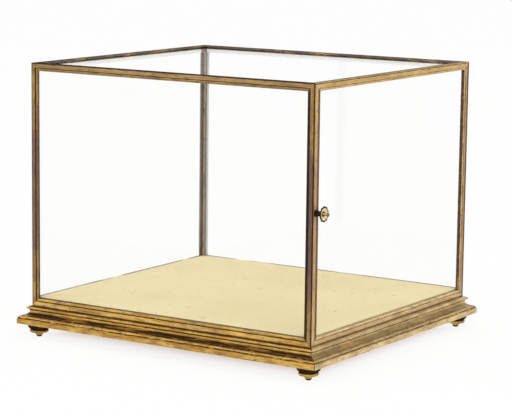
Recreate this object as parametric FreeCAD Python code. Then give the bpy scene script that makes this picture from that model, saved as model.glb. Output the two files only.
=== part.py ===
import FreeCAD, Part
import math
import os

# A glazed brass table display case on a moulded plinth with four turned feet.
# X runs across the front, with the door on the +X side; Y runs from front to back; Z is up,
# from the surface that the feet stand on. All lengths are in millimetres.

# Case frame
frame_width = 400.0
frame_depth = 367.0
frame_height = 297.5

# Drawn brass angle of the posts and rails: a flat strip, a groove and a rounded bead
bar_width = 9.5
leg_thickness = 2.0
strip_width = 5.6
groove_width = 0.9
groove_depth = 1.0
bead_shoulder = 0.6
bead_crown = 0.4
edge_chamfer = 0.4

# Plinth moulding, from its bottom edge up; overhangs are measured from the frame's outer face
plinth_overhang = 13.5
plinth_height = 21.7
plinth_tuck = 3.5
fascia_height = 6.1
quirk_height = 0.8
quirk_depth = 0.8
ovolo_radius = 2.4
fillet_height = 0.5
waist_overhang = 2.0
waist_bottom = 14.0
waist_top = 16.1
cove_sag = 0.9
nose_overhang = 5.2
nose_bottom = 18.6
nose_edge = 0.6
nose_under_sag = 0.3
nose_top_sag = 0.5
ledge_width = 0.5
plinth_pin_radius = 0.6
plinth_pin_length = 14.0
plinth_pin_shares = (-0.375, -0.125, 0.125, 0.375)

# Feet
foot_height = 16.8
foot_inset = 19.5
foot_pad_radius = 2.6
foot_tip_radius = 3.6
foot_tip_height = 1.2
foot_cup_radius = 4.6
foot_cup_height = 3.0
foot_cup_sag = 0.5
foot_ring_root_radius = 9.4
foot_ring_level = 5.8
foot_ring_radius = 11.0
foot_ring_swell = 0.8
foot_ring_height = 3.2
foot_neck_height = 1.8
foot_neck_sag = 0.5
foot_flange_low_radius = 12.6
foot_flange_radius = 13.8
foot_flange_bevel = 2.2
foot_stud_radius = 2.0
foot_stud_in_foot = 8.0
foot_stud_in_board = 14.0

# Floor inside the case
floor_level = 11.0
lining_thickness = 0.8

# Screws that hold the bottom rails to the board
frame_screw_head_radius = 1.5
frame_screw_head_depth = 0.9
frame_screw_radius = 0.8
frame_screw_length = 14.0
frame_screw_margin = 0.2
frame_screw_shares = (-0.3, 0.3)

# Fixed panes and the beads that hold them
glass_thickness = 2.4
glass_bed = 0.15
glass_edge_gap = 0.3
glazing_bead = 2.2
bead_end_gap = 0.1
hinge_stop_width = 5.9
pane_slot_depth = 1.3
panel_gap = 0.3

# Door
door_thickness = 4.0
door_seat_gap = 0.3
door_rim = 1.0
door_edge_gap = 0.6
door_end_gap = 0.5
lock_stile_width = 11.0
hinge_stile_width = 9.5
door_rail_width = 7.8
door_glass_thickness = 1.8
door_slot_front = 1.2
door_slot_depth = 2.5
door_screw_head_radius = 1.3
door_screw_head_depth = 0.8
door_screw_radius = 0.7
door_screw_length = 14.0
door_screw_from_edge = 5.0

# Door pivots
pivot_pin_radius = 1.0
pivot_pin_in_door = 8.0
pivot_pin_in_plinth = 6.0
pivot_washer_thickness = 0.4

# Catch and knob, measured outwards from the door's face
knob_from_corner = 6.8
knob_height = 152.0
collar_radius = 3.9
collar_thickness = 1.8
stem_radius = 3.3
stem_waist_sag = 0.4
stem_length = 5.2
rosette_radius = 9.0
rosette_hub_radius = 3.8
rosette_hub_thickness = 1.8
rosette_dish = 2.6
rosette_rim_thickness = 1.1
rosette_back_sag = 0.5
rosette_scallops = 10
scallop_radius = 1.9
scallop_bite = 0.8
pistil_root_radius = 1.8
pistil_radius = 1.1
pistil_length = 6.0
button_radius = 2.2
button_face_radius = 0.8
button_length = 2.0
button_swell = 0.5
spindle_radius = 1.5
spindle_in_knob = 1.0
tongue_radius = 1.6
tongue_length = 9.0
tongue_thickness = 1.6
tongue_hub_radius = 1.9
tongue_gap = 0.4
tongue_notch_gap = 0.5
catch_screw_head_radius = 1.6
catch_screw_head_height = 1.3
catch_screw_radius = 0.8
catch_screw_length = 4.0
bead_break_below = 5.0
bead_break_above = 3.0

# Fits
press_clearance = 0.02
running_clearance = 0.05
face_clearance = 0.1
overrun = 1.0

# Places worked out from the sizes above
half_width = frame_width / 2
half_depth = frame_depth / 2
frame_bottom = foot_height + plinth_height
frame_top = frame_bottom + frame_height
groove_end = strip_width + groove_width
door_seat = door_thickness + door_seat_gap
side_leg_end = door_seat + leg_thickness
pane_inner = leg_thickness + glass_bed + glass_thickness
bead_near = pane_inner + glass_bed
bead_far = bead_near + glazing_bead
door_bead_near = side_leg_end + glass_bed
door_bead_far = door_bead_near + glazing_bead
door_half_depth = half_depth - door_rim - door_edge_gap
door_bottom = frame_bottom + door_rim + door_end_gap
door_top = frame_top - door_rim - door_end_gap
door_slot_back = door_slot_front + door_glass_thickness + 2 * face_clearance
pivot_x = half_width - door_thickness / 2
pivot_y = door_half_depth - door_thickness / 2
knob_y = knob_from_corner - half_depth
knob_z = frame_bottom + knob_height
along_x = FreeCAD.Vector(1, 0, 0)
along_y = FreeCAD.Vector(0, 1, 0)
up = FreeCAD.Vector(0, 0, 1)
sides = ((-1, "front"), (1, "back"))
ends = ((-1, "left"), (1, "right"))


def block(x_span, y_span, z_span):
    """Box between the low and high values given for each axis."""
    low = FreeCAD.Vector(min(x_span), min(y_span), min(z_span))
    high = FreeCAD.Vector(max(x_span), max(y_span), max(z_span))
    size = high - low
    return Part.makeBox(size.x, size.y, size.z, low)


def rod(radius, start, end):
    """Round rod between two points."""
    way = end - start
    return Part.makeCylinder(radius, way.Length, start, way)


def one_solid(shape):
    """The single solid that a boolean left, with its seams merged."""
    return shape.removeSplitter().Solids[0]


def sagged(first, last, sag):
    """Last stop of an arc from first to last that bows by sag to the left of its chord."""
    run = (last[0] - first[0], last[1] - first[1])
    chord = math.hypot(*run)
    middle = ((first[0] + last[0]) / 2, (first[1] + last[1]) / 2)
    return (*last, middle[0] - run[1] / chord * sag, middle[1] + run[0] / chord * sag)


def outline_wire(stops, place):
    """Closed wire through the stops; a stop with four values ends an arc through its middle point."""
    edges = []
    for before, stop in zip(stops, stops[1:] + stops[:1]):
        start = place(before[0], before[1])
        end = place(stop[0], stop[1])
        if len(stop) > 2:
            curve = Part.Arc(start, place(stop[2], stop[3]), end)
        else:
            curve = Part.LineSegment(start, end)
        edges.append(curve.toShape())
    return Part.Wire(edges)


def turned(stops, base, way):
    """Solid of revolution; stops give radius and distance along the axis from the base."""
    face = Part.Face(outline_wire(stops, lambda radius, along: FreeCAD.Vector(radius, 0, along)))
    solid = face.revolve(FreeCAD.Vector(), up)
    solid.Placement = FreeCAD.Placement(base, FreeCAD.Rotation(up, way))
    return solid


def countersunk_screw(top, way, radius, length, head_radius, head_depth):
    """Screw with a flat countersunk head whose face is at top; the shank runs along way."""
    stops = [(0, 0), (head_radius, 0), (radius, head_depth), (radius, length), (0, length)]
    return turned(stops, top, way)


def face_stops(width):
    """Outer face of a bar of the given width, from its corner edge to its inner edge."""
    across = width / bar_width
    strip_edge = strip_width * across
    bead_edge = groove_end * across
    return [
        (edge_chamfer * across, 0),
        (strip_edge, 0),
        (strip_edge, groove_depth),
        (bead_edge, groove_depth),
        (bead_edge, bead_shoulder),
        sagged((bead_edge, bead_shoulder), (width, bead_shoulder), -bead_crown),
    ]


def angle_stops():
    """Section of a fixed bar: two like legs that meet at the outer corner."""
    second_bead = sagged((bead_shoulder, bar_width), (bead_shoulder, groove_end), -bead_crown)
    return face_stops(bar_width) + [
        (bar_width, leg_thickness),
        (leg_thickness, leg_thickness),
        (leg_thickness, bar_width),
        (bead_shoulder, bar_width),
        second_bead,
        (groove_depth, groove_end),
        (groove_depth, strip_width),
        (0, strip_width),
        (0, edge_chamfer),
    ]


def seat_stops(stop_width):
    """Section of a bar beside the door: its second leg, of stop_width, is set back to stop the door."""
    return face_stops(bar_width) + [
        (bar_width, leg_thickness),
        (side_leg_end, leg_thickness),
        (side_leg_end, stop_width),
        (door_seat, stop_width),
        (door_seat, leg_thickness),
        (0, leg_thickness),
        (0, edge_chamfer),
    ]


def door_bar_stops(width):
    """Section of a door bar: the same outer face, with a slot for the glass in its inner edge."""
    slot_root = width - door_slot_depth
    return face_stops(width) + [
        (width, door_slot_front),
        (slot_root, door_slot_front),
        (slot_root, door_slot_back),
        (width, door_slot_back),
        (width, door_thickness),
        (0, door_thickness),
        (0, edge_chamfer),
    ]


def mitre_wedge(corner, inward, run, length, thick_way, slopes):
    """Space that a bar may fill in one plane; slopes say how far its mitres run along it per step in."""
    reach = max(bar_width, lock_stile_width, hinge_stile_width) + overrun
    near, far = slopes
    points = [
        corner - inward * overrun - run * (overrun * near),
        corner + inward * reach + run * (reach * near),
        corner + inward * reach + run * (length - reach * far),
        corner - inward * overrun + run * (length + overrun * far),
    ]
    face = Part.Face(Part.makePolygon(points + points[:1]))
    face.translate(thick_way * -overrun)
    return face.extrude(thick_way * (reach + overrun))


def mitred_bar(stops, corner, first_way, second_way, run, length):
    """Bar from one corner of the frame to the next, mitred against the two bars at each end."""
    wire = outline_wire(stops, lambda a, b: corner + first_way * a + second_way * b)
    bar = Part.Face(wire).extrude(run * length)
    bar = bar.common(mitre_wedge(corner, first_way, run, length, second_way, (1, 1)))
    return bar.common(mitre_wedge(corner, second_way, run, length, first_way, (1, 1)))


def door_pocket():
    """Space inside the rim on the +X side that the door closes into."""
    return block(
        (half_width - door_seat, half_width + overrun),
        (door_rim - half_depth, half_depth - door_rim),
        (frame_bottom + door_rim, frame_top - door_rim),
    )


def frame_bars():
    """The twelve bars of the case frame, by name."""
    bars = {}
    pocket = door_pocket()
    post_stops = {
        ("front", "left"): angle_stops(),
        ("back", "left"): angle_stops(),
        ("front", "right"): seat_stops(bar_width),
        ("back", "right"): seat_stops(hinge_stop_width),
    }
    for x_sign, end in ends:
        for y_sign, side in sides:
            corner = FreeCAD.Vector(x_sign * half_width, y_sign * half_depth, frame_bottom)
            stops = post_stops[side, end]
            post = mitred_bar(stops, corner, along_x * -x_sign, along_y * -y_sign, up, frame_height)
            bars[f"post_{side}_{end}"] = one_solid(post.cut(pocket))
    for level, z, z_way in (("top", frame_top, up * -1), ("bottom", frame_bottom, up)):
        for y_sign, side in sides:
            corner = FreeCAD.Vector(-half_width, y_sign * half_depth, z)
            rail = mitred_bar(angle_stops(), corner, along_y * -y_sign, z_way, along_x, frame_width)
            bars[f"{level}_rail_{side}"] = one_solid(rail.cut(pocket))
        for x_sign, end in ends:
            stops = seat_stops(bar_width) if x_sign > 0 else angle_stops()
            corner = FreeCAD.Vector(x_sign * half_width, -half_depth, z)
            rail = mitred_bar(stops, corner, along_x * -x_sign, z_way, along_y, frame_depth)
            bars[f"{level}_rail_{end}"] = one_solid(rail.cut(pocket))
    return bars


def plinth_stops():
    """Section of the plinth moulding: overhang from the frame's face, height above its bottom edge."""
    quirk_top = fascia_height + quirk_height
    ovolo_top = quirk_top + ovolo_radius
    ovolo_in = plinth_overhang - quirk_depth - ovolo_radius
    fillet_top = ovolo_top + fillet_height
    ovolo_start = (plinth_overhang - quirk_depth, quirk_top)
    ovolo_bow = ovolo_radius * (1 - math.sqrt(0.5))
    cove_foot = (ovolo_in, fillet_top)
    waist_foot = (waist_overhang, waist_bottom)
    waist_head = (waist_overhang, waist_top)
    nose_low = (nose_overhang, nose_bottom)
    nose_high = (nose_overhang, nose_bottom + nose_edge)
    ledge = (ledge_width, plinth_height)
    return [
        (-plinth_tuck, 0),
        (plinth_overhang, 0),
        (plinth_overhang, fascia_height),
        (plinth_overhang - quirk_depth - edge_chamfer, fascia_height),
        (plinth_overhang - quirk_depth - edge_chamfer, quirk_top),
        ovolo_start,
        sagged(ovolo_start, (ovolo_in, ovolo_top), -ovolo_bow),
        cove_foot,
        sagged(cove_foot, waist_foot, cove_sag),
        waist_head,
        sagged(waist_head, nose_low, nose_under_sag),
        nose_high,
        sagged(nose_high, ledge, -nose_top_sag),
        (-plinth_tuck, plinth_height),
    ]


def plinth_lengths():
    """The four mitred lengths of plinth moulding."""
    lengths = {}
    x_out = half_width + plinth_overhang
    y_out = half_depth + plinth_overhang
    x_in = half_width - plinth_tuck
    y_in = half_depth - plinth_tuck
    for sign, side, end in ((-1, "front", "left"), (1, "back", "right")):
        long_wire = outline_wire(
            plinth_stops(),
            lambda out, z: FreeCAD.Vector(-x_out, sign * (half_depth + out), foot_height + z),
        )
        long_plan = [(-x_out, y_out), (x_out, y_out), (x_in, y_in), (-x_in, y_in)]
        lengths[f"plinth_{side}"] = plan_cut(
            Part.Face(long_wire).extrude(along_x * (2 * x_out)), [(x, sign * y) for x, y in long_plan]
        )
        short_wire = outline_wire(
            plinth_stops(),
            lambda out, z: FreeCAD.Vector(sign * (half_width + out), -y_out, foot_height + z),
        )
        short_plan = [(x_out, -y_out), (x_out, y_out), (x_in, y_in), (x_in, -y_in)]
        lengths[f"plinth_{end}"] = plan_cut(
            Part.Face(short_wire).extrude(along_y * (2 * y_out)), [(sign * x, y) for x, y in short_plan]
        )
    return lengths


def plan_cut(moulding, plan):
    """What of a moulding stands over a four-cornered plan, which mitres both its ends."""
    points = [FreeCAD.Vector(x, y, foot_height - overrun) for x, y in plan]
    face = Part.Face(Part.makePolygon(points + points[:1]))
    return one_solid(moulding.common(face.extrude(up * (plinth_height + 2 * overrun))))


def plinth_pins(radius):
    """Pins driven through the waist of each moulding into the board; holes when made wider."""
    z = foot_height + (waist_bottom + waist_top) / 2
    x_face = half_width + waist_overhang
    y_face = half_depth + waist_overhang
    pins = []
    for sign in (-1, 1):
        for share in plinth_pin_shares:
            head = FreeCAD.Vector(share * frame_width, sign * y_face, z)
            pins.append(rod(radius, head, head - along_y * (sign * plinth_pin_length)))
            head = FreeCAD.Vector(sign * x_face, share * frame_depth, z)
            pins.append(rod(radius, head, head - along_x * (sign * plinth_pin_length)))
    return pins


def foot_places():
    """Name and plan centre of each foot."""
    x = half_width + plinth_overhang - foot_inset
    y = half_depth + plinth_overhang - foot_inset
    return [
        (f"foot_{side}_{end}", FreeCAD.Vector(x_sign * x, y_sign * y, 0))
        for x_sign, end in ends
        for y_sign, side in sides
    ]


def foot(centre):
    """Turned foot: a bevelled flange under the plinth, a neck, a swelling ring, a hollow cup and a tip."""
    ring_top = foot_ring_level + foot_ring_height
    neck_top = ring_top + foot_neck_height
    cup_low = (foot_cup_radius, foot_cup_height)
    cup_high = (foot_ring_root_radius, foot_ring_level)
    ring_low = (foot_ring_radius, foot_ring_level)
    ring_high = (foot_ring_radius, ring_top)
    neck_high = (foot_ring_radius, neck_top)
    stops = [
        (0, 0),
        (foot_pad_radius, 0),
        (foot_tip_radius, foot_tip_height),
        cup_low,
        sagged(cup_low, cup_high, foot_cup_sag),
        ring_low,
        sagged(ring_low, ring_high, -foot_ring_swell),
        sagged(ring_high, neck_high, foot_neck_sag),
        (foot_flange_low_radius, neck_top),
        (foot_flange_radius, neck_top + foot_flange_bevel),
        (foot_flange_radius, foot_height),
        (0, foot_height),
    ]
    bore_start = centre + up * (foot_height - foot_stud_in_foot)
    bore = rod(foot_stud_radius + press_clearance, bore_start, centre + up * (foot_height + overrun))
    return turned(stops, centre, up).cut(bore)


def foot_studs(radius):
    """Studs from the feet up into the board; holes when made wider."""
    low = up * (foot_height - foot_stud_in_foot)
    high = up * (foot_height + foot_stud_in_board)
    return [rod(radius, centre + low, centre + high) for _, centre in foot_places()]


def frame_screw_places():
    """Head centres of the screws in the bottom rails, on the upper face of each bottom leg."""
    inset = bar_width - frame_screw_margin - frame_screw_head_radius
    z = frame_bottom + leg_thickness
    places = []
    for sign in (-1, 1):
        for share in frame_screw_shares:
            places.append(FreeCAD.Vector(share * frame_width, sign * (half_depth - inset), z))
            places.append(FreeCAD.Vector(sign * (half_width - inset), share * frame_depth, z))
    return places


def frame_screws(clearance):
    """Countersunk wood screws through the bottom legs into the board; holes when given clearance."""
    return [
        countersunk_screw(
            place,
            up * -1,
            frame_screw_radius + clearance,
            frame_screw_length + clearance,
            frame_screw_head_radius + clearance,
            frame_screw_head_depth + clearance,
        )
        for place in frame_screw_places()
    ]


def base_board():
    """Wooden board that fills the plinth and carries the frame and the feet."""
    board = block(
        (plinth_tuck - half_width, half_width - plinth_tuck),
        (plinth_tuck - half_depth, half_depth - plinth_tuck),
        (foot_height, frame_bottom),
    )
    holes = plinth_pins(plinth_pin_radius + press_clearance)
    holes += foot_studs(foot_stud_radius + press_clearance)
    holes += frame_screws(press_clearance)
    return board.cut(Part.makeCompound(holes))


def floor_layer(z_span):
    """One layer of the floor, notched at its corners round the upright glazing beads."""
    pane_side = pane_inner + panel_gap
    door_side = side_leg_end + panel_gap
    x_span = (pane_side - half_width, half_width - door_side)
    y_span = (pane_side - half_depth, half_depth - pane_side)
    layer = block(x_span, y_span, z_span)
    clear = panel_gap / 2
    tall = (z_span[0] - overrun, z_span[1] + overrun)
    for x_sign, y_sign, far in ((-1, -1, bead_far), (-1, 1, bead_far), (1, -1, door_bead_far)):
        notch = block(
            (x_sign * (half_width - far - clear), x_sign * half_width),
            (y_sign * (half_depth - bead_far - clear), y_sign * half_depth),
            tall,
        )
        layer = layer.cut(notch)
    return layer


def pane_slot():
    """Slot in the hinge post's set-back leg that takes the edge of the back pane."""
    return block(
        (half_width - side_leg_end - overrun, half_width - side_leg_end + pane_slot_depth),
        (half_depth - leg_thickness, half_depth - pane_inner - glass_bed),
        (frame_bottom + leg_thickness, frame_top - pane_inner),
    )


def fixed_panes():
    """Glass of the front, back, left side and top, each behind the legs of its bars."""
    edge = leg_thickness + glass_edge_gap
    x_span = (edge - half_width, half_width - side_leg_end - glass_edge_gap)
    back_x_span = (x_span[0], x_span[1] + pane_slot_depth)
    outer = leg_thickness + glass_bed
    z_span = (frame_bottom + edge, frame_top - pane_inner - glass_edge_gap)
    inset = pane_inner + glass_edge_gap
    panes = {
        "glass_front": block(x_span, (outer - half_depth, pane_inner - half_depth), z_span),
        "glass_back": block(back_x_span, (half_depth - outer, half_depth - pane_inner), z_span),
    }
    panes["glass_left"] = block(
        (outer - half_width, pane_inner - half_width), (inset - half_depth, half_depth - inset), z_span
    )
    panes["glass_top"] = block(
        x_span, (edge - half_depth, half_depth - edge), (frame_top - pane_inner, frame_top - outer)
    )
    return panes


def glazing_beads():
    """Beads inside the panes: square up three corners, as the fourth has a slot; deeper under the top."""
    beads = {}
    z_span = (frame_bottom + leg_thickness, frame_top - bar_width - bead_end_gap)
    top_span = (frame_top - bar_width, frame_top - bead_near)
    inner = bead_far + bead_end_gap
    x_spans = {
        "left": (bead_near - half_width, bead_far - half_width),
        "right": (half_width - door_bead_near, half_width - door_bead_far),
    }
    y_spans = {
        "front": (bead_near - half_depth, bead_far - half_depth),
        "back": (half_depth - bead_near, half_depth - bead_far),
    }
    for side, end in (("front", "left"), ("back", "left"), ("front", "right")):
        beads[f"glazing_bead_{side}_{end}"] = block(x_spans[end], y_spans[side], z_span)
    catch_gap = block(
        (half_width - door_bead_far - overrun, half_width),
        (-half_depth, knob_y + half_depth),
        (knob_z - bead_break_below, knob_z + tongue_length + bead_break_above),
    )
    beads["glazing_bead_front_right"] = beads["glazing_bead_front_right"].cut(catch_gap)
    for end, x_span in x_spans.items():
        beads[f"top_bead_{end}"] = block(x_span, (inner - half_depth, half_depth - inner), top_span)
    long_span = (bead_near - half_width, half_width - door_bead_near)
    for side, y_span in y_spans.items():
        beads[f"top_bead_{side}"] = block(long_span, y_span, top_span)
    return beads


def pivot_pins(radius):
    """Top and bottom pins of the door, from the rails and plinth into the hinge stile; bores when wider."""
    centre = FreeCAD.Vector(pivot_x, pivot_y, 0)
    top = rod(radius, centre + up * frame_top, centre + up * (door_top - pivot_pin_in_door))
    bottom_end = frame_bottom - pivot_pin_in_plinth
    bottom = rod(radius, centre + up * bottom_end, centre + up * (door_bottom + pivot_pin_in_door))
    return {"pivot_pin_top": top, "pivot_pin_bottom": bottom}


def pivot_washer():
    """Thin washer that the hinge stile turns on."""
    centre = FreeCAD.Vector(pivot_x, pivot_y, frame_bottom + door_rim)
    ring = rod(door_thickness / 2, centre, centre + up * pivot_washer_thickness)
    hole = rod(
        pivot_pin_radius + running_clearance,
        centre - up * overrun,
        centre + up * (pivot_washer_thickness + overrun),
    )
    return ring.cut(hole)


def door_screw_places():
    """Head centre and direction of the screws that hold the door's corners together."""
    y = door_half_depth - door_screw_from_edge
    return [
        (FreeCAD.Vector(pivot_x, y_sign * y, z), way)
        for y_sign in (-1, 1)
        for z, way in ((door_top, up * -1), (door_bottom, up))
    ]


def door_screws(clearance):
    """Countersunk screws down through the door's rails into its stiles; holes when given clearance."""
    return [
        countersunk_screw(
            place,
            way,
            door_screw_radius + clearance,
            door_screw_length + clearance,
            door_screw_head_radius + clearance,
            door_screw_head_depth + clearance,
        )
        for place, way in door_screw_places()
    ]


def hinge_edge_waste():
    """What is cut off the door's hinge edge to leave it round about the pivots."""
    edge = block(
        (half_width - door_thickness - overrun, half_width + overrun),
        (pivot_y, door_half_depth + overrun),
        (door_bottom - overrun, door_top + overrun),
    )
    round_edge = rod(
        door_thickness / 2,
        FreeCAD.Vector(pivot_x, pivot_y, door_bottom - 2 * overrun),
        FreeCAD.Vector(pivot_x, pivot_y, door_top + 2 * overrun),
    )
    return edge.cut(round_edge)


def door_bar(corner, inward, run, length, width, end_widths):
    """One door bar, running from a corner of the door and mitred into bars of end_widths at its ends."""
    into = along_x * -1
    wire = outline_wire(door_bar_stops(width), lambda a, b: corner + inward * a + into * b)
    bar = Part.Face(wire).extrude(run * length)
    slopes = [end_width / width for end_width in end_widths]
    return bar.common(mitre_wedge(corner, inward, run, length, into, slopes))


def door_frame():
    """Stiles and rails of the door, bored for the pivots, the corner screws and the spindle."""
    height = door_top - door_bottom
    depth = 2 * door_half_depth
    front_low = FreeCAD.Vector(half_width, -door_half_depth, door_bottom)
    back_low = FreeCAD.Vector(half_width, door_half_depth, door_bottom)
    front_high = FreeCAD.Vector(half_width, -door_half_depth, door_top)
    stile_ends = (door_rail_width, door_rail_width)
    rail = (depth, door_rail_width, (lock_stile_width, hinge_stile_width))
    bars = {
        "door_lock_stile": door_bar(front_low, along_y, up, height, lock_stile_width, stile_ends),
        "door_hinge_stile": door_bar(back_low, along_y * -1, up, height, hinge_stile_width, stile_ends),
        "door_top_rail": door_bar(front_high, up * -1, along_y, *rail),
        "door_bottom_rail": door_bar(front_low, up, along_y, *rail),
    }
    waste = door_screws(press_clearance)
    waste += pivot_pins(pivot_pin_radius + running_clearance).values()
    waste += [hinge_edge_waste(), spindle(spindle_radius + running_clearance)]
    return {name: one_solid(bar.cut(Part.makeCompound(waste))) for name, bar in bars.items()}


def door_glass():
    """Pane of the door, held in the slots of its bars."""
    in_slot = door_slot_depth - glass_edge_gap
    lock_edge = lock_stile_width - in_slot
    hinge_edge = hinge_stile_width - in_slot
    end = door_rail_width - in_slot
    front = half_width - door_slot_front - face_clearance
    return block(
        (front - door_glass_thickness, front),
        (lock_edge - door_half_depth, door_half_depth - hinge_edge),
        (door_bottom + end, door_top - end),
    )


def knob_point(out):
    """Point on the knob's axis, out from the door's face."""
    return FreeCAD.Vector(half_width + out, knob_y, knob_z)


def knob_collar():
    """Round collar on the lock stile, round the spindle."""
    ring = rod(collar_radius, knob_point(0), knob_point(collar_thickness))
    hole_end = knob_point(collar_thickness + overrun)
    hole = rod(spindle_radius + running_clearance, knob_point(-overrun), hole_end)
    return ring.cut(hole)


def stem_start():
    """Where the knob's stem begins, clear of the collar."""
    return collar_thickness + face_clearance


def knob_stem():
    """Waisted sleeve between the collar and the rosette."""
    low = (stem_radius, 0)
    high = (stem_radius, stem_length)
    hole = spindle_radius + press_clearance
    stops = [(hole, 0), low, sagged(low, high, stem_waist_sag), (hole, stem_length)]
    return turned(stops, knob_point(stem_start()), along_x)


def knob():
    """Dished rosette with a scalloped rim, a slim centre pistil and a small button."""
    rim_back = rosette_dish
    rim_front = rim_back + rosette_rim_thickness
    pistil_end = rosette_hub_thickness + pistil_length
    button_end = pistil_end + button_length
    hub = (rosette_hub_radius, 0)
    back = (rosette_radius, rim_back)
    button_low = (button_radius, pistil_end)
    button_high = (button_face_radius, button_end)
    stops = [
        (0, 0),
        hub,
        sagged(hub, back, rosette_back_sag),
        (rosette_radius, rim_front),
        sagged((rosette_radius, rim_front), (pistil_root_radius, rosette_hub_thickness), -rosette_back_sag),
        (pistil_radius, rosette_hub_thickness + pistil_root_radius),
        (pistil_radius, pistil_end),
        button_low,
        sagged(button_low, button_high, -button_swell),
        (0, button_end),
    ]
    base = knob_point(stem_start() + stem_length)
    rosette = turned(stops, base, along_x)
    scallop_centre = rosette_radius + scallop_radius - scallop_bite
    socket_end = base + along_x * spindle_in_knob
    waste = [rod(spindle_radius + press_clearance, base - along_x * overrun, socket_end)]
    for step in range(rosette_scallops):
        turn = 2 * math.pi * step / rosette_scallops
        aside = along_y * (scallop_centre * math.cos(turn)) + up * (scallop_centre * math.sin(turn))
        waste.append(rod(scallop_radius, base + aside, base + aside + along_x * (rim_front + overrun)))
    return one_solid(rosette.cut(Part.makeCompound(waste)))


def tongue_back():
    """How far behind the door's face the tongue's inner side lies."""
    return side_leg_end + tongue_gap + tongue_thickness


def spindle(radius):
    """Steel spindle from the knob through the stile to the tongue; a bore when made wider."""
    return rod(radius, knob_point(stem_start() + stem_length + spindle_in_knob), knob_point(-tongue_back()))


def catch_screw():
    """Screw that holds the tongue on the spindle's end."""
    end = knob_point(-tongue_back())
    head_top = end - along_x * catch_screw_head_height
    head = turned(
        [
            (0, 0),
            (catch_screw_head_radius, 0),
            (catch_screw_head_radius, catch_screw_head_height),
            (0, catch_screw_head_height),
        ],
        head_top,
        along_x,
    )
    return head.fuse(rod(catch_screw_radius, end, end + along_x * catch_screw_length))


def catch_spindle():
    """The spindle itself, tapped at its inner end."""
    end = knob_point(-tongue_back())
    bore_end = end + along_x * catch_screw_length
    bore = rod(catch_screw_radius + press_clearance, end - along_x * overrun, bore_end)
    return spindle(spindle_radius).cut(bore)


def catch_tongue():
    """Flat tongue on a hub; at rest it lies along +Y, through the notch in the post's set-back leg."""
    hub_start = knob_point(-(door_thickness + face_clearance))
    plate_start = knob_point(-(side_leg_end + tongue_gap))
    plate_end = knob_point(-tongue_back())
    reach = along_y * (tongue_length - tongue_radius)
    tongue = rod(tongue_hub_radius, hub_start, plate_start)
    tongue = tongue.fuse(rod(tongue_radius, plate_start, plate_end))
    tongue = tongue.fuse(rod(tongue_radius, plate_start + reach, plate_end + reach))
    tongue = tongue.fuse(
        block(
            (plate_start.x, plate_end.x),
            (knob_y, knob_y + reach.y),
            (knob_z - tongue_radius, knob_z + tongue_radius),
        )
    )
    bore_start = hub_start + along_x * overrun
    bore = rod(spindle_radius + press_clearance, bore_start, plate_end - along_x * overrun)
    return one_solid(tongue.cut(bore))


def catch_notch():
    """Open notch in the post's set-back leg, for the hub and the tongue to pass."""
    half = tongue_hub_radius + tongue_notch_gap
    return block(
        (half_width - side_leg_end - overrun, half_width - door_seat + overrun),
        (knob_y - half, bar_width + overrun - half_depth),
        (knob_z - half, knob_z + half),
    )


parts = frame_bars()
parts["post_front_right"] = one_solid(parts["post_front_right"].cut(catch_notch()))
parts["post_back_right"] = one_solid(parts["post_back_right"].cut(pane_slot()))
pin_holes = Part.makeCompound(list(pivot_pins(pivot_pin_radius + press_clearance).values()))
screw_holes = Part.makeCompound(frame_screws(press_clearance))
for rail in ("top_rail_right", "bottom_rail_right"):
    parts[rail] = one_solid(parts[rail].cut(pin_holes))
for rail in ("front", "back", "left", "right"):
    parts[f"bottom_rail_{rail}"] = one_solid(parts[f"bottom_rail_{rail}"].cut(screw_holes))

moulding_holes = Part.makeCompound(plinth_pins(plinth_pin_radius + press_clearance) + [pin_holes])
for name, moulding in plinth_lengths().items():
    parts[name] = one_solid(moulding.cut(moulding_holes))
parts["plinth_pins"] = Part.makeCompound(plinth_pins(plinth_pin_radius))
parts["base_board"] = base_board()
parts.update({name: foot(centre) for name, centre in foot_places()})
parts["foot_studs"] = Part.makeCompound(foot_studs(foot_stud_radius))
parts["frame_screws"] = Part.makeCompound(frame_screws(0))

lining_bottom = frame_bottom + floor_level - lining_thickness
parts["floor_panel"] = floor_layer((frame_bottom + leg_thickness, lining_bottom))
parts["floor_lining"] = floor_layer((lining_bottom, frame_bottom + floor_level))
parts.update(fixed_panes())
parts.update(glazing_beads())

parts.update(pivot_pins(pivot_pin_radius))
parts["pivot_washer"] = pivot_washer()
parts.update(door_frame())
parts["door_glass"] = door_glass()
parts["door_corner_screws"] = Part.makeCompound(door_screws(0))
parts["knob_collar"] = knob_collar()
parts["knob_stem"] = knob_stem()
parts["knob"] = knob()
parts["catch_spindle"] = catch_spindle()
parts["catch_tongue"] = catch_tongue()
parts["catch_screw"] = catch_screw()

os.makedirs("parts", exist_ok=True)
for name, shape in parts.items():
    shape.exportStep(f"parts/{name}.step")
    print(name, len(shape.Solids), "solids, valid", shape.isValid(), "volume", round(shape.Volume, 2))
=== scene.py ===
import math

import bpy
from mathutils import Matrix, Vector, noise


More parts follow.
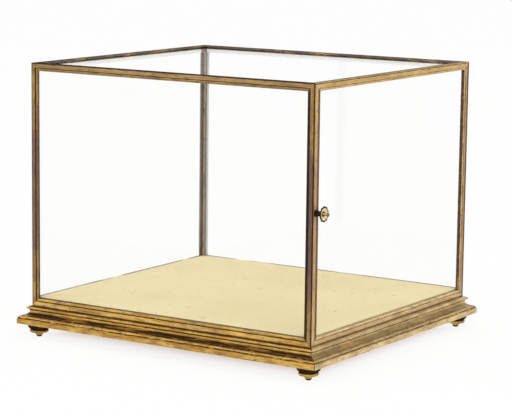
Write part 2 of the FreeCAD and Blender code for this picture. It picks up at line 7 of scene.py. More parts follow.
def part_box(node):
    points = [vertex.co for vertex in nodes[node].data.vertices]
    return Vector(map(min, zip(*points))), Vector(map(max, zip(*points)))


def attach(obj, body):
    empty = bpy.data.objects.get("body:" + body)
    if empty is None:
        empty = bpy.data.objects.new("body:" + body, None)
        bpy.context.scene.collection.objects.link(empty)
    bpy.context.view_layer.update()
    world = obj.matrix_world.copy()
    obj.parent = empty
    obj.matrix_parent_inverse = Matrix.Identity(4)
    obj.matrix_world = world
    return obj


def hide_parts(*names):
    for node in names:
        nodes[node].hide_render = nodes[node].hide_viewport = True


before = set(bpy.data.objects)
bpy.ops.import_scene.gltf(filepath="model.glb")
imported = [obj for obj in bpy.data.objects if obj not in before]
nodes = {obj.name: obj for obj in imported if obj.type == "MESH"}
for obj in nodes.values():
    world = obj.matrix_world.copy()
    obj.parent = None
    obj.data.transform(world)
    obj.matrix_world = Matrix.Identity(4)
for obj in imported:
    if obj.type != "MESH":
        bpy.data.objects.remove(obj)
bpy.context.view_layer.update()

# Base board: a plain softwood board inside the plinth, planed and left bare.
# The plinth is pinned to its edges, the feet are screwed up into it and the frame down onto it.


class Shade:
    """One socket of a node tree; arithmetic on it adds Math nodes."""

    def __init__(self, tree, socket=None):
        self.tree = tree
        self.socket = socket

    def node(self, kind, inputs, output=0, **settings):
        """Adds a node, sets it up, then fills its sockets with values or other shades."""
        made = self.tree.nodes.new("ShaderNode" + kind)
        for key, value in settings.items():
            setattr(made, key, value)
        for key, value in inputs.items():
            if isinstance(value, Shade):
                self.tree.links.new(value.socket, made.inputs[key])
            else:
                made.inputs[key].default_value = value
        return Shade(self.tree, made.outputs[output]) if made.outputs else None

    def math(self, operation, *values):
        return self.node("Math", dict(enumerate(values)), operation=operation)

    def __add__(self, other):
        return self.math("ADD", self, other)

    def __radd__(self, other):
        return self.math("ADD", other, self)

    def __sub__(self, other):
        return self.math("SUBTRACT", self, other)

    def __rsub__(self, other):
        return self.math("SUBTRACT", other, self)

    def __mul__(self, other):
        return self.math("MULTIPLY", self, other)

    def __abs__(self):
        return self.math("ABSOLUTE", self)

    def least(self, other):
        return self.math("MINIMUM", self, other)

    def most(self, *others):
        top = self
        for other in others:
            top = self.math("MAXIMUM", top, other)
        return top

    def rise(self, low, high):
        """0 below low, 1 above high and smooth between them."""
        spans = {"Value": self, "From Min": low, "From Max": high, "To Min": 0.0, "To Max": 1.0}
        return self.node("MapRange", spans, interpolation_type="SMOOTHSTEP")

    def band(self, low, high, soft):
        """1 between low and high, fading out over soft at both ends."""
        return self.rise(low - soft, low + soft) * (1 - self.rise(high - soft, high + soft))

    def stretched(self, scale):
        """This vector, scaled by one number for each axis."""
        return self.node("VectorMath", {0: self, 1: scale}, operation="MULTIPLY")

    def clouds(self, scale, detail=3.0, roughness=0.55):
        """Soft noise over this vector, about 0.5 on average."""
        grain = {"Vector": self, "Scale": scale, "Detail": detail, "Roughness": roughness}
        return self.node("TexNoise", grain)

    def parts(self):
        """The three numbers of this vector."""
        return [self.node("SeparateXYZ", {0: self}, output=axis) for axis in range(3)]

    def blend(self, first, second):
        """Colour between two others, by this factor."""
        return self.node("Mix", {0: self, 6: first, 7: second}, output=2, data_type="RGBA")

    def over(self, below, above):
        """Shader above laid over shader below, by this factor."""
        return self.node("MixShader", {0: self, 1: below, 2: above})

    def show(self):
        """Makes this shader the material's surface."""
        self.node("OutputMaterial", {"Surface": self})


def new_material(name):
    """An empty node material, and the point on the surface in the part's own frame."""
    material = bpy.data.materials.new(name)
    material.use_nodes = True
    material.node_tree.nodes.clear()
    return material, Shade(material.node_tree).node("TexCoord", {}, output="Object")


def finish_of(relief, depth, inputs):
    """A Principled shader with a fine relief, depth metres deep."""
    normal = relief.node("Bump", {"Strength": 1.0, "Distance": depth, "Height": relief})
    return relief.node("BsdfPrincipled", {**inputs, "Normal": normal})


def paint(names, material):
    """Gives CAD pieces a material."""
    for name in names:
        mesh = nodes[name].data
        mesh.materials.clear()
        mesh.materials.append(material)


def bare_wood(name):
    pale, dark = (0.42, 0.27, 0.14, 1.0), (0.25, 0.14, 0.065, 1.0)
    material, at = new_material(name)
    x, y, z = at.parts()
    rings = at.node("CombineXYZ", {0: x * 2.0, 1: y * 60.0 + at.clouds(9.0) * 5.0, 2: z * 60.0})
    grain = rings.clouds(1.0, 4.0, 0.6)
    pores = at.stretched((60.0, 1400.0, 1400.0)).clouds(1.0, 2.0)
    tone = (grain * 0.8 + pores * 0.3).rise(0.35, 0.75)
    inputs = {"Base Color": tone.blend(pale, dark), "Roughness": 0.62 + pores * 0.2}
    finish_of(grain * 0.5 + pores, depth=0.0002, inputs=inputs).show()
    return material


paint(["base_board"], bare_wood("bare_board"))

# Feet: four turned brass feet, each with a flange under the plinth painted black as its shadow, a ring, a
# hollow cup and a tip.
# They screw up into the board on plain steel studs.

gold_tones = {
    "light": (0.72, 0.46, 0.12, 1.0),
    "deep": (0.53, 0.29, 0.06, 1.0),
    "brown": (0.25, 0.12, 0.035, 1.0),
    "patina": (0.17, 0.085, 0.065, 1.0),
}
# Matt black-brown of soot and grime, also painted as shade in grooves, recesses and on faces inside the
# case.
soot_and_shade_dark = (0.012, 0.008, 0.009, 1.0)
soot_and_shade_brown = (0.06, 0.034, 0.02, 1.0)


def aged_brass(name, run, tones, dirt_and_shade, stain, paint_on=None):
    """Old brass, drawn along run; the first mask says where grime and painted shade lie, stain where
    patina lies and paint_on where paint lies.
    """
    material, at = new_material(name)
    fine, broad, speck = [620.0] * 3, [110.0] * 3, [420.0] * 3
    if run:
        axis = "xyz".index(run)
        fine[axis], broad[axis], speck[axis] = 60.0, 36.0, 130.0
    streak = at.stretched(fine).clouds(1.0, 3.0, 0.6)
    bloom = at.stretched(broad).clouds(1.0, 3.0)
    fleck = at.clouds(380.0, 2.0, 0.6)
    patina = (stain(at) * (0.45 + bloom)).least(1.0)
    metal = bloom.rise(0.36, 0.64).blend(tones["light"], tones["deep"])
    metal = (streak.rise(0.48, 0.7) * 0.75).blend(metal, tones["brown"])
    metal = patina.blend(metal, tones["patina"])
    specks = at.stretched(speck).clouds(1.0, 2.0).rise(0.56, 0.72) * 0.55
    metal = specks.blend(metal, soot_and_shade_brown)
    polished = finish_of(
        streak * 0.7 + fleck * 0.3,
        depth=0.00007,
        inputs={
            "Base Color": metal,
            "Metallic": 1.0 - patina * 0.45,
            "Roughness": 0.24 + streak * 0.18 + patina * 0.2,
        },
    )
    # Grime and painted shade: where the first mask says, the polished brass gives way to matt black-brown.
    grime_and_shade = (dirt_and_shade(at) * (0.55 + fleck * 0.9)).least(1.0)
    grimy_and_shaded = finish_of(
        fleck,
        depth=0.0001,
        inputs={
            "Base Color": fleck.rise(0.4, 0.75).blend(soot_and_shade_dark, soot_and_shade_brown),
            "Roughness": 0.7 + fleck * 0.2,
            "Specular IOR Level": 0.0,
        },
    )
    brass = grime_and_shade.over(polished, grimy_and_shaded)
    if paint_on:
        brass = paint_on(at).over(brass, old_paint(at))
    brass.show()
    return material


def old_paint(at):
    """Brushed oil paint, once white."""
    brush = at.stretched((30.0, 30.0, 900.0)).clouds(1.0, 2.0)
    colour = at.clouds(40.0).rise(0.45, 0.8).blend((0.95, 0.96, 0.98, 1.0), (0.92, 0.93, 0.95, 1.0))
    return finish_of(brush, depth=0.0001, inputs={"Base Color": colour, "Roughness": 0.5 + brush * 0.2})


foot_nodes = [name for name in nodes if name.startswith("foot_") and name != "foot_studs"]
# Heights on a foot: where its dark tip ends, the painted shade under its ring and the painted shadow that
# blackens its flange.
tip_low, tip_high = 0.0016, 0.0028
ring_shade_low, ring_shade_high = 0.0046, 0.0061
flange_low, flange_high = 0.0085, 0.0094
line_soft = 0.0002


def foot_dirt_and_shade(at):
    height = at.parts()[2]
    tip = 1 - height.rise(tip_low, tip_high)
    under_ring = height.band(ring_shade_low, ring_shade_high, line_soft) * 0.8
    return tip.most(under_ring, height.rise(flange_low, flange_high))


def soft_patches(at):
    return at.clouds(70.0).rise(0.45, 0.75) * 0.5


paint(foot_nodes, aged_brass("foot_brass", "", gold_tones, foot_dirt_and_shade, soft_patches))


def turned_steel(name):
    material, at = new_material(name)
    rings = at.stretched((900.0, 900.0, 2600.0)).clouds(1.0, 2.0)
    colour = at.clouds(160.0).rise(0.4, 0.7).blend((0.46, 0.46, 0.47, 1.0), (0.24, 0.2, 0.17, 1.0))
    inputs = {"Base Color": colour, "Metallic": 1.0, "Roughness": 0.3 + rings * 0.25}
    finish_of(rings, depth=0.00004, inputs=inputs).show()
    return material


steel = turned_steel("steel")
paint(["foot_studs"], steel)

# Plinth: four lengths of brass moulding, mitred at the corners and pinned to the board.
# A fascia, an ovolo, a cove black with tarnish and painted shade, a waist and a nose rubbed bright under
# the frame.

plinth_low, plinth_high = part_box("plinth_front")
plinth_x, plinth_y = plinth_high.x, -plinth_low.y
# Heights above the foot of the moulding: the dark lines of dirt and painted shade, and where the browned
# part starts.
quirk_low, quirk_high = 0.0066, 0.008
fillet_low, fillet_high = 0.0098, 0.0107
cove_low, cove_high, cove_soft = 0.0109, 0.0135, 0.0004
under_nose_low, under_nose_high = 0.0162, 0.0172
junction_low, junction_high = 0.0202, 0.0209
above_fascia_low, above_fascia_high = 0.006, 0.0072
# The dark line along each mitre, and how far the other lines stray.
mitre_low, mitre_high, line_ripple = 0.0003, 0.0009, 0.0014


# Dirt and painted shade in the quirk, fillet and cove, under the nose and at the joint with the frame;
# each mitre gets a dark joint line.
def plinth_dirt_and_shade(line_share, junction_share, cove_share):
    def dirt_and_shade(at):
        x, y, z = at.parts()
        ripple = (at.stretched((90.0, 90.0, 160.0)).clouds(1.0, 3.0, 0.65) - 0.5) * line_ripple
        height = z - plinth_low.z + ripple
        gaps = at.stretched((85.0, 85.0, 400.0)).clouds(1.0, 2.0).rise(0.32, 0.46)
        quirk = height.band(quirk_low, quirk_high, line_soft) * gaps
        fillet = height.band(fillet_low, fillet_high, line_soft) * gaps
        under_nose = height.band(under_nose_low, under_nose_high, line_soft) * gaps
        junction = height.rise(junction_low, junction_high) * junction_share
        streaks = at.stretched((18.0, 18.0, 420.0)).clouds(1.0, 2.0, 0.5).rise(0.42, 0.5)
        cove = height.band(cove_low, cove_high, cove_soft) * streaks
        mitre = abs((plinth_x - abs(x)) - (plinth_y - abs(y)))
        joint = (1 - mitre.rise(mitre_low, mitre_high)) * 0.8
        return (quirk.most(under_nose) * line_share).most(fillet.most(cove) * cove_share, junction, joint)

    return dirt_and_shade


def long_patches(at):
    """Patches of tarnish, longer than they are high."""
    return at.stretched((40.0, 40.0, 160.0)).clouds(1.0, 3.0)


def plinth_stain(share, body_share):
    def stain(at):
        height, patches = at.parts()[2] - plinth_low.z, long_patches(at)
        cove = height.band(cove_low, cove_high, cove_soft) * share
        body = height.rise(above_fascia_low, above_fascia_high) * patches.rise(0.3, 0.6) * body_share
        return (patches.rise(0.45, 0.7) * share).most(cove, body)

    return stain


# Paler copies of the brass for the right-hand pieces: painted light, as that side shows lighter.
lit_right_tones = {
    "light": (0.7, 0.5, 0.21, 1.0),
    "deep": (0.54, 0.36, 0.13, 1.0),
    "brown": (0.3, 0.19, 0.09, 1.0),
    "patina": (0.21, 0.165, 0.095, 1.0),
}
lit_right_plinth_tones = {
    "light": (0.8, 0.6, 0.3, 1.0),
    "deep": (0.67, 0.47, 0.2, 1.0),
    "brown": (0.36, 0.22, 0.09, 1.0),
    "patina": (0.24, 0.17, 0.075, 1.0),
}
for name, run, tones, line_share, junction_share, cove_share, stain_share, body_share in (
    ("plinth_front", "x", gold_tones, 0.95, 0.85, 0.95, 0.3, 0.0),
    ("plinth_back", "x", gold_tones, 0.8, 0.8, 0.8, 0.5, 0.0),
    ("plinth_left", "y", gold_tones, 0.8, 0.8, 0.8, 0.5, 0.0),
    ("plinth_right", "y", lit_right_plinth_tones, 0.8, 0.05, 0.25, 0.3, 0.45),
):
    dirt_and_shade = plinth_dirt_and_shade(line_share, junction_share, cove_share)
    paint([name], aged_brass(name + "_brass", run, tones, dirt_and_shade, plinth_stain(stain_share, body_share)))


def pin_dirt(at):
    return at.clouds(300.0).rise(0.3, 0.6)


paint(["plinth_pins"], aged_brass("pin_brass", "", gold_tones, pin_dirt, soft_patches))

# Frame: twelve bars of drawn brass angle, mitred three ways, soldered at the corners and screwed down.
# Each outer face has a flat strip, a groove darkened with dirt and painted shade, and a rounded bead.
# Inside, the rails are painted white below the top pane, and white putty lies on the back left post.

frame_x = -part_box("top_rail_left")[0].x
frame_y = -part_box("top_rail_front")[0].y
frame_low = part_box("bottom_rail_front")[0].z
frame_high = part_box("top_rail_front")[1].z
bar_width, leg_thickness, skin = 0.0095, 0.002, 0.0001
groove_low, groove_high, groove_wander = 0.0056, 0.0065, 0.0007
arris_low, arris_high, top_depth = 0.0009, 0.0016, 0.0012


def frame_distances(at):
    """How far a point lies inside the frame's side, front and end planes."""
    x, y, z = at.parts()
    return frame_x - abs(x), frame_y - abs(y), (z - frame_low).least(frame_high - z)


def facing(at):
    """Which way the surface looks, as three numbers."""
    return at.node("TexCoord", {}, output="Normal").parts()


def top_side(at):
    """1 on the faces that look up from the top of the frame."""
    start = frame_high - top_depth
    return facing(at)[2].rise(0.6, 0.8) * at.parts()[2].rise(start - 2 * skin, start)


def inner_side(at):
    """1 on the faces of the bars' legs that look into the case."""
    u, v, w = frame_distances(at)
    return u.least(v).least(w).rise(leg_thickness - 2 * skin, leg_thickness - skin)


def bar_across(at):
    """How far across its own bar a point lies, from the outer arris."""
    u, v, w = frame_distances(at)
    return u.least(v).most(u.most(v).least(w))


def uneven(at):
    """How a line of dirt strays to one side or the other, about 0 on average."""
    return at.clouds(150.0, 2.0) - 0.5


# Dirt and painted shade on the bars: the groove, bead, outer arris and upward faces darken, and the legs'
# inner faces carry painted shade.
def bar_dirt_and_shade(bead_share, arris_share, top_share, inner_face_shade_share):
    def dirt_and_shade(at):
        across = bar_across(at) + uneven(at) * groove_wander
        groove = across.band(groove_low, groove_high, line_soft)
        bead = across.rise(groove_high, groove_high + line_soft) * bead_share
        arris = (1 - across.rise(arris_low, arris_high)) * arris_share
        inside = inner_side(at)
        return groove.most(bead, arris, top_side(at) * top_share) * (1 - inside) + inside * inner_face_shade_share

    return dirt_and_shade


bright_height, bright_fade = 0.023, 0.003
stain_low, stain_high, stain_soft, stain_wander = 0.11, 0.27, 0.04, 0.2
# How much painted shade, in patina brown, lies on the bars' inner faces.
inner_face_brown_shade_share = 0.8


def above_lining(at):
    """0 on the lowest inch inside the case, where the brass is still bright."""
    start = frame_low + bright_height
    return at.parts()[2].rise(start, start + bright_fade)


def post_stain(share):
    """Brown patina half way up, where the case is handled, and painted shade in the same brown on the
    bars' inner faces.
    """

    def stain(at):
        wander = (at.stretched((90.0, 90.0, 16.0)).clouds(1.0, 3.0) - 0.5) * stain_wander
        inside = inner_side(at) * above_lining(at) * inner_face_brown_shade_share
        return (at.parts()[2] + wander).band(stain_low, stain_high, stain_soft) * share + inside

    return stain


def rail_stain(share):
    def stain(at):
        patches = long_patches(at)
        edge = bar_across(at).rise(bar_width - 2 * skin, bar_width - skin)
        hidden = top_side(at).most(edge, inner_side(at))
        return patches.rise(0.5, 0.62) * share + hidden * patches.rise(0.4, 0.5) * share

    return stain


post_tones = {
    "light": (0.45, 0.285, 0.11, 1.0),
    "deep": (0.33, 0.2, 0.075, 1.0),
    "brown": (0.2, 0.115, 0.06, 1.0),
    "patina": (0.175, 0.096, 0.07, 1.0),
}
bedding_start, bedding_wander = 0.006, 0.0008


def bedding(at):
    """1 where white putty beds the back pane on the post's leg."""
    across = bar_across(at) + (at.clouds(90.0, 2.0) - 0.5) * bedding_wander
    edge = across.rise(bar_width - 3 * skin, bar_width - skin)
    back_leg = 1 - frame_distances(at)[1].rise(leg_thickness + 4 * skin, leg_thickness + 8 * skin)
    return (inner_side(at) * across.rise(bedding_start - skin, bedding_start + skin)).most(edge) * back_leg


grey_tones = {**post_tones, "patina": (0.36, 0.26, 0.18, 1.0)}
handled_tones = {**post_tones, "patina": (0.145, 0.08, 0.064, 1.0)}
for name, tones, bead_share, arris_share, inner_face_shade_share, stain_share, putty in (
    ("post_front_left", post_tones, 0.05, 0.5, 0.95, 0.9, None),
    ("post_front_right", handled_tones, 0.95, 0.95, 0.95, 1.0, None),
    ("post_back_left", grey_tones, 0.5, 0.5, 0.0, 1.0, bedding),
    ("post_back_right", post_tones, 0.5, 0.3, 0.95, 0.8, None),
):
    dirt_and_shade = bar_dirt_and_shade(bead_share, arris_share, top_share=0.9, inner_face_shade_share=inner_face_shade_share)
    paint([name], aged_brass(name + "_brass", "z", tones, dirt_and_shade, post_stain(stain_share), putty))

top_tones = {
    "light": (0.52, 0.335, 0.145, 1.0),
    "deep": (0.4, 0.25, 0.1, 1.0),
    "brown": (0.2, 0.115, 0.05, 1.0),
    "patina": (0.165, 0.11, 0.085, 1.0),
}
pane_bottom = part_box("glass_top")[0].z
corner_reach, corner_fade, corner_skew_share = 0.018, 0.001, 0.65
corner_low, corner_high, corner_soft = -0.0042, 0.0048, 0.0003


def bare_corner(at):
    """1 over the back post, where the paint under the top pane stops short."""
    x, y = at.parts()[:2]
    from_left, from_back = x + frame_x, frame_y - y
    near = 1 - from_left.most(from_back).rise(corner_reach, corner_reach + corner_fade)
    return (from_left - from_back * corner_skew_share).band(corner_low, corner_high, corner_soft) * near


def under_pane(at):
    """1 on the rails' inner faces below the top pane, which are painted like the beads there."""
    below = 1 - at.parts()[2].rise(pane_bottom - 2 * skin, pane_bottom)
    return inner_side(at) * below * (1 - bare_corner(at))


for name, run, tones, bead_share, arris_share, top_share, stain_share in (
    ("top_rail_front", "x", top_tones, 0.3, 0.9, 0.95, 0.3),
    ("top_rail_back", "x", top_tones, 0.1, 0.4, 0.4, 1.0),
    ("top_rail_left", "y", top_tones, 0.1, 0.4, 0.4, 1.0),
    ("top_rail_right", "y", lit_right_tones, 0.0, 0.1, 0.6, 0.1),
):
    dirt_and_shade = bar_dirt_and_shade(bead_share, arris_share, top_share, inner_face_shade_share=0.3)
    paint([name], aged_brass(name + "_brass", run, tones, dirt_and_shade, rail_stain(stain_share), under_pane))

rubbed_tones = {**gold_tones, "light": (0.79, 0.52, 0.15, 1.0), "deep": (0.62, 0.36, 0.085, 1.0)}
for name, run, tones, inner_face_shade_share, stain_share in (
    ("bottom_rail_front", "x", rubbed_tones, 0.9, 0.3),
    ("bottom_rail_back", "x", gold_tones, 0.9, 0.35),
    ("bottom_rail_left", "y", gold_tones, 0.9, 0.35),
    ("bottom_rail_right", "y", lit_right_tones, 0.1, 0.4),
):
    dirt_and_shade = bar_dirt_and_shade(bead_share=0.1, arris_share=0.25, top_share=0.5, inner_face_shade_share=inner_face_shade_share)
    paint([name], aged_brass(name + "_brass", run, tones, dirt_and_shade, rail_stain(stain_share)))
paint(["frame_screws"], steel)

# Floor: a wooden panel on the frame's bottom legs, with cream cloth stretched over it and glued down.
# The cloth is faded, a little mottled, and has a few small brown spots.

paint(["floor_panel"], bare_wood("bare_panel"))
lining_low, lining_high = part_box("floor_lining")
thread_pitch = 0.0011


def cream_cloth(name):
    pale, deep, stain = (0.89, 0.75, 0.4, 1.0), (0.84, 0.69, 0.35, 1.0), (0.4, 0.28, 0.12, 1.0)
    material, at = new_material(name)
    x, y = at.parts()[:2]
    turn = 2 * math.pi / thread_pitch
    weave = x.math("SINE", x * turn) * y.math("SINE", y * turn) * 0.5 + 0.5
    weft = at.stretched((40.0, 900.0, 900.0)).clouds(1.0, 2.0)
    warp = at.stretched((900.0, 40.0, 900.0)).clouds(1.0, 2.0)
    slub = weft + warp
    colour = (at.clouds(9.0, 4.0).rise(0.35, 0.68) + (slub - 1.0) * 0.25).blend(pale, deep)
    spots = at.clouds(120.0, 1.0).rise(0.7, 0.74) * 0.6
    inputs = {
        "Base Color": spots.blend(colour, stain),
        "Roughness": 0.86 + weave * 0.1,
        "Sheen Weight": 0.15,
        "Sheen Roughness": 0.4,
    }
    finish_of(weave + slub * 0.6, depth=0.00015, inputs=inputs).show()
    return material


cloth_notch, cloth_step, cloth_thickness = 0.0022, 0.006, 0.0003
cloth_swell, cloth_waves, cloth_roll = 0.0001, 40.0, 0.0002
cloth_turn, cloth_drop, hem_bend_share = 0.00035, 0.0022, 0.25


def cloth_lines(low, high):
    """Where threads of the mesh lie between two edges, with one at the depth of the corner notches."""
    start, span = low + cloth_notch, high - low - 2 * cloth_notch
    count = round(span / cloth_step)
    return [low, *(start + span * step / count for step in range(count + 1)), high]


def stretched_cloth(name):
    """The glued cloth: nearly flat, turned down at its edges and notched round three of the posts."""
    across, along = cloth_lines(lining_low.x, lining_high.x), cloth_lines(lining_low.y, lining_high.y)
    last = (len(across) - 2, len(along) - 2)
    points, faces, index = [], [], {}
    for column in range(last[0] + 1):
        for row in range(last[1] + 1):
            if column in (0, last[0]) and row in (0, last[1]) and (column, row) != last:
                continue
            corners = [(column, row), (column + 1, row), (column + 1, row + 1), (column, row + 1)]
            for i, j in corners:
                if (i, j) not in index:
                    index[i, j] = len(points)
                    swell = noise.noise(Vector((across[i], along[j], 0.0)) * cloth_waves) * cloth_swell
                    edge = cloth_roll if i in (0, last[0] + 1) or j in (0, last[1] + 1) else 0.0
                    points.append((across[i], along[j], lining_high.z - cloth_swell + swell - edge))
            faces.append([index[corner] for corner in corners])
    # Turned down over the panel's edge at the door.
    edge = [index[last[0] + 1, row] for row in range(last[1] + 2) if (last[0] + 1, row) in index]
    for drop in (cloth_drop * hem_bend_share, cloth_drop):
        start = len(points)
        points += [(lining_high.x + cloth_turn, points[i][1], lining_high.z - drop) for i in edge]
        hem = range(start, len(points))
        faces += [[edge[i], hem[i], hem[i + 1], edge[i + 1]] for i in range(len(edge) - 1)]
        edge = list(hem)
    mesh = bpy.data.meshes.new(name)
    mesh.from_pydata(points, [], faces)
    mesh.shade_smooth()
    cloth = bpy.data.objects.new(name, mesh)
    bpy.context.scene.collection.objects.link(cloth)
    body = cloth.modifiers.new("thickness", "SOLIDIFY")
    body.thickness, body.offset = cloth_thickness, -1.0
    return cloth


lining = stretched_cloth("floor_cloth")
lining.data.materials.append(cream_cloth("cream_cloth"))
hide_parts("floor_lining")
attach(lining, "case")

# Fixed glass: clear panes behind the legs of the bars, held in by square beads.
# A line of brown putty shows where the back and left panes meet the lining.
# The upright beads are browned brass; those under the top pane are painted white, like the rails there.

white = (1.0, 1.0, 1.0, 1.0)
brown_putty = ((0.1, 0.065, 0.03, 1.0), (0.25, 0.17, 0.08, 1.0))
putty_height = 0.0004


def clear_glass(name, putty_at=None, putty_tones=None):
    """Old window glass, with a faint film; putty_at says where its edges are bedded in putty."""
    material, at = new_material(name)
    film = at.clouds(7.0, 4.0, 0.6).rise(0.4, 0.8)
    slant = at.node("LayerWeight", {"Blend": 0.5}, output="Facing")
    glance = 0.02 + slant.math("POWER", slant, 5.0) * 0.08
    through = at.node("BsdfTransparent", {"Color": (0.996, 0.998, 0.996, 1.0)})
    gloss = at.node("BsdfGlossy", {"Color": white, "Roughness": 0.02 + film * 0.05})
    pane = (glance + film * 0.008).over(through, gloss)
    if putty_at:
        putty = at.clouds(200.0)
        inputs = {"Base Color": putty.blend(*putty_tones), "Roughness": 0.8}
        pane = putty_at(at).over(pane, finish_of(putty, depth=0.0001, inputs=inputs))
    pane.show()
    return material


def floor_putty(at):
    """1 along the broken line of putty between a pane and the lining."""
    line = 1 - at.parts()[2].rise(lining_high.z, lining_high.z + putty_height)
    return line * at.clouds(20.0, 3.0).rise(0.3, 0.58) * 0.7


paint(["glass_front", "glass_top"], clear_glass("clear_glass"))
paint(["glass_back", "glass_left"], clear_glass("puttied_glass", floor_putty, brown_putty))


def bead_stain(at):
    return at.clouds(50.0).rise(0.0, 0.4) * above_lining(at)


def bead_dirt(at):
    return at.clouds(60.0).rise(0.1, 0.5) * 0.9


paint(["glazing_bead_back_left"], aged_brass("back_bead_brass", "z", grey_tones, soft_patches, bead_stain))
front_beads = ["glazing_bead_front_left", "glazing_bead_front_right"]
paint(front_beads, aged_brass("front_bead_brass", "z", post_tones, bead_dirt, bead_stain))


def bead_paint(at):
    return 1 - bare_corner(at)


top_beads = [name for name in nodes if name.startswith("top_bead_")]
paint(top_beads, aged_brass("painted_brass", "", grey_tones, soft_patches, bead_stain, bead_paint))

# Door: a brass frame of mitred bars, screwed at the corners, with its pane puttied into their slots.
# It hangs on two steel pins at its back edge, over a thin brass washer.

stile_low, stile_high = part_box("door_lock_stile")
door_y, door_low, door_high = -stile_low.y, stile_low.z, stile_high.z
lock_stile_width, hinge_stile_width, door_rail_width = 0.011, 0.0095, 0.0078
# Spans across a bar of the door, as shares of its width from the outer edge.
outer_edge_shares, door_groove_shares, groove_soft_share = (0.03, 0.09), (0.575, 0.72), 0.02
door_bead_shares, inner_edge_shares, stray_share = (0.69, 0.72), (0.95, 1.0), 0.07
brown_line_soft_share, slot_shares = 0.04, (0.985, 1.0)


def rail_across(at):
    """How far across the door's rails a point lies, as a share of their width."""
    z = at.parts()[2]
    return (z - door_low).least(door_high - z) * (1 / door_rail_width)


def door_across(at):
    """How far across its own bar of the door a point lies, as a share of the bar's width."""
    y = at.parts()[1]
    side = ((y + door_y) * (1 / lock_stile_width)).least((door_y - y) * (1 / hinge_stile_width))
    return side.least(rail_across(at))


# Dirt and painted shade on the door's bars: groove, bead and edges darken, and faces that look into the
# case carry painted shade.
def door_dirt_and_shade(groove_share, bead_share, outer_share, inner_share):
    def dirt_and_shade(at):
        across = door_across(at) + uneven(at) * stray_share
        groove = across.band(*door_groove_shares, groove_soft_share) * groove_share
        bead = across.rise(*door_bead_shares) * bead_share
        outer_edge = (1 - across.rise(*outer_edge_shares)) * outer_share
        inner_edge = across.rise(*inner_edge_shares) * inner_share
        back = 1 - facing(at)[0].rise(-0.8, -0.6)
        return groove.most(bead, outer_edge, inner_edge, back)

    return dirt_and_shade


def door_stain(share, line_shares, line_share):
    """Brown as on the posts, with a browner line over a span of the bar's width."""
    tarnish = post_stain(share)

    def stain(at):
        return tarnish(at) + door_across(at).band(*line_shares, brown_line_soft_share) * line_share

    return stain


door_tones = {
    "light": (0.72, 0.48, 0.19, 1.0),
    "deep": (0.58, 0.37, 0.14, 1.0),
    "brown": (0.33, 0.2, 0.09, 1.0),
    "patina": (0.36, 0.2, 0.11, 1.0),
}
# A paler copy of the door's brass for the hinge stile and bottom rail: a painted highlight.
lit_door_tones = {**door_tones, "light": (0.86, 0.66, 0.34, 1.0), "deep": (0.74, 0.54, 0.25, 1.0)}
for name, run, tones, dirt_shares, stain_share, line_shares, line_share in (
    ("door_lock_stile", "z", door_tones, (0.9, 0.5, 0.25, 0.9), 0.4, (0.48, 1.2), 0.9),
    ("door_hinge_stile", "z", lit_door_tones, (0.15, 0.0, 0.3, 0.9), 0.15, (0.15, 0.5), 1.0),
    ("door_top_rail", "y", door_tones, (0.3, 0.0, 0.0, 0.5), 0.1, (-0.2, 0.5), 0.0),
    ("door_bottom_rail", "y", lit_door_tones, (0.3, 0.0, 0.1, 0.0), 0.1, (-0.2, 0.5), 0.45),
):
    dirt_and_shade, stain = door_dirt_and_shade(*dirt_shares), door_stain(stain_share, line_shares, line_share)
    paint([name], aged_brass(name + "_brass", run, tones, dirt_and_shade, stain))


def rail_putty(at):
    """1 where the pane's top and bottom edges are bedded in the rails."""
    return 1 - rail_across(at).rise(*slot_shares)


tan_putty = ((0.5, 0.38, 0.2, 1.0), (0.7, 0.56, 0.34, 1.0))
paint(["door_glass"], clear_glass("door_glass", rail_putty, tan_putty))
paint(["door_corner_screws", "pivot_pin_top", "pivot_pin_bottom"], steel)
paint(["pivot_washer"], aged_brass("washer_brass", "", gold_tones, pin_dirt, soft_patches))

# Knob: a dished, scalloped brass rosette with a slim pistil and a grey button, on a dark stem and collar.
# A quarter turn of it brings the steel tongue behind the post.

knob_low, knob_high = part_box("knob")
knob_y, knob_z = (knob_low.y + knob_high.y) / 2, (knob_low.z + knob_high.z) / 2
pistil_length, button_length = 0.0072, 0.0021
pistil_start, button_start = knob_high.x - pistil_length, knob_high.x - button_length
pistil_fade, heart_fade = 0.0005, 0.0003
# Distances from the middle of the rosette.
stalk_low, stalk_high = 0.0022, 0.003
heart_low, heart_high = 0.0028, 0.0042
rim_low, rim_high = 0.0068, 0.0074


# Painted shade and dirt on the knob: its rim, faces turned away, the hollow heart behind the pistil, the
# pistil's underside and the button.
def knob_shade_and_dirt(at):
    x, y, z = at.parts()
    level, rise = y - knob_y, z - knob_z
    square = level * level + rise * rise
    radius = square.math("SQRT", square)
    forward, _, upward = facing(at)
    in_front = x.rise(pistil_start, pistil_start + pistil_fade)
    behind = 1 - x.rise(pistil_start - heart_fade, pistil_start + heart_fade)
    rim = radius.rise(rim_low, rim_high)
    back = (1 - forward.rise(-0.1, 0.2)) * (1 - in_front)
    heart = (1 - radius.rise(heart_low, heart_high)) * behind
    stalk = (1 - radius.rise(stalk_low, stalk_high)) * in_front
    under = (1 - upward.rise(-0.35, 0.15)) * stalk
    button = x.rise(button_start - line_soft, button_start + line_soft) * 0.7
    return rim.most(back, heart, under, button)


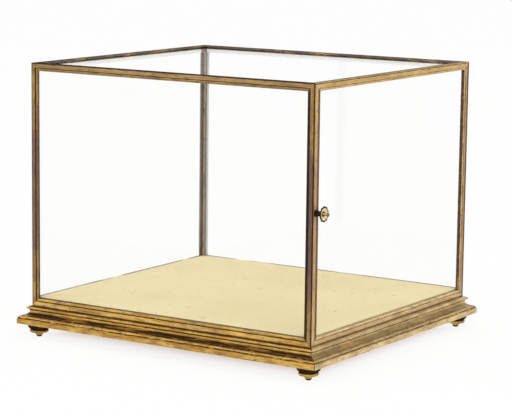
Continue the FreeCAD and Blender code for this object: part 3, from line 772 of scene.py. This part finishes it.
# Brass much paler than the rest: a painted highlight on the knob's dish.
knob_highlight_tones = {
    "light": (0.95, 0.82, 0.48, 1.0),
    "deep": (0.88, 0.7, 0.33, 1.0),
    "brown": (0.72, 0.5, 0.18, 1.0),
    "patina": (0.6, 0.4, 0.14, 1.0),
}
paint(["knob"], aged_brass("knob_brass", "", knob_highlight_tones, knob_shade_and_dirt, soft_patches))
dark_tones = {
    "light": (0.035, 0.02, 0.03, 1.0),
    "deep": (0.018, 0.011, 0.018, 1.0),
    "brown": (0.06, 0.033, 0.025, 1.0),
    "patina": (0.03, 0.02, 0.03, 1.0),
}
paint(["knob_collar", "knob_stem"], aged_brass("dark_brass", "", dark_tones, pin_dirt, soft_patches))
paint(["catch_spindle", "catch_tongue", "catch_screw"], steel)

# Studio: a pale floor that runs out of view, an even white surround and two large soft lamps.
# The camera stands where the photograph was taken from, with a long lens.

floor_half = 30.0
shadow_start, shadow_end, side_depth_share = -0.075, -0.02, 1.5
shadow_glow, glow_gain = 0.62, 0.27
floor_corners = [(x * floor_half, y * floor_half, 0.0) for x, y in ((-1, -1), (1, -1), (1, 1), (-1, 1))]
floor_mesh = bpy.data.meshes.new("studio_floor")
floor_mesh.from_pydata(floor_corners, [], [(0, 1, 2, 3)])
floor = bpy.data.objects.new("studio_floor", floor_mesh)
bpy.context.scene.collection.objects.link(floor)


def seen_directly(shade):
    """1 for the rays that show a surface, straight or in metal and glass."""
    kinds = ("Is Camera Ray", "Is Glossy Ray", "Is Transmission Ray")
    straight, mirrored, through = (shade.node("LightPath", {}, output=kind) for kind in kinds)
    return straight.most(mirrored, through)


floor_material, at = new_material("studio_floor")
x, y = at.parts()[:2]
# Near the plinth the glow is weaker, so more of the real shadow shows, and warmer: a painted warm bounce
# from the brass.
away = ((abs(x) - plinth_x) * side_depth_share).most(abs(y) - plinth_y).rise(shadow_start, shadow_end)
matt = at.node("BsdfDiffuse", {"Color": (0.95, 0.92, 0.89, 1.0)})
painted_bounce_warmth = away.blend((1.0, 0.9, 0.84, 1.0), white)
glow = at.node("Emission", {"Color": painted_bounce_warmth, "Strength": 1.0})
(seen_directly(at) * (shadow_glow + away * glow_gain)).over(matt, glow).show()
floor_mesh.materials.append(floor_material)

world = bpy.data.worlds.new("studio")
bpy.context.scene.world = world
world.use_nodes = True
world.node_tree.nodes.clear()
sky = Shade(world.node_tree)
surround_light = 0.94
surround_strength = surround_light + seen_directly(sky) * (1 - surround_light)
surround = sky.node("Background", {"Color": white, "Strength": surround_strength})
sky.node("OutputWorld", {"Surface": surround})

lamp_aim = Vector((0.0, 0.0, 0.15))


def soft_lamp(name, place, width, power):
    lamp = bpy.data.lights.new(name, "AREA")
    lamp.shape = "SQUARE"
    lamp.size = width
    lamp.energy = power
    lamp_object = bpy.data.objects.new(name, lamp)
    lamp_object.location = place
    lamp_object.rotation_euler = (lamp_aim - Vector(place)).to_track_quat("-Z", "Y").to_euler()
    bpy.context.scene.collection.objects.link(lamp_object)


soft_lamp("key_lamp", place=(1.9, -1.2, 2.6), width=1.6, power=19.0)
soft_lamp("fill_lamp", place=(-2.2, -1.6, 2.0), width=1.8, power=6.0)

camera_data = bpy.data.cameras.new("camera")
camera_data.lens = 146.55
camera_data.sensor_width = 36.0
camera_data.clip_start, camera_data.clip_end = 0.05, 100.0
camera = bpy.data.objects.new("camera", camera_data)
bpy.context.scene.collection.objects.link(camera)
yaw, pitch, roll = (math.radians(angle) for angle in (-32.982, -8.939, -0.705))
ahead = Vector((math.sin(yaw) * math.cos(pitch), math.cos(yaw) * math.cos(pitch), math.sin(pitch)))
level = Vector((math.cos(yaw), -math.sin(yaw), 0.0))
down = ahead.cross(level)
right = level * math.cos(roll) + down * math.sin(roll)
below = down * math.cos(roll) - level * math.sin(roll)
camera.matrix_world = Matrix((right, -below, -ahead)).transposed().to_4x4()
camera.location = (1.3896, -2.1328, 0.5546)
bpy.context.scene.camera = camera
bpy.context.scene.view_settings.view_transform = "Standard"
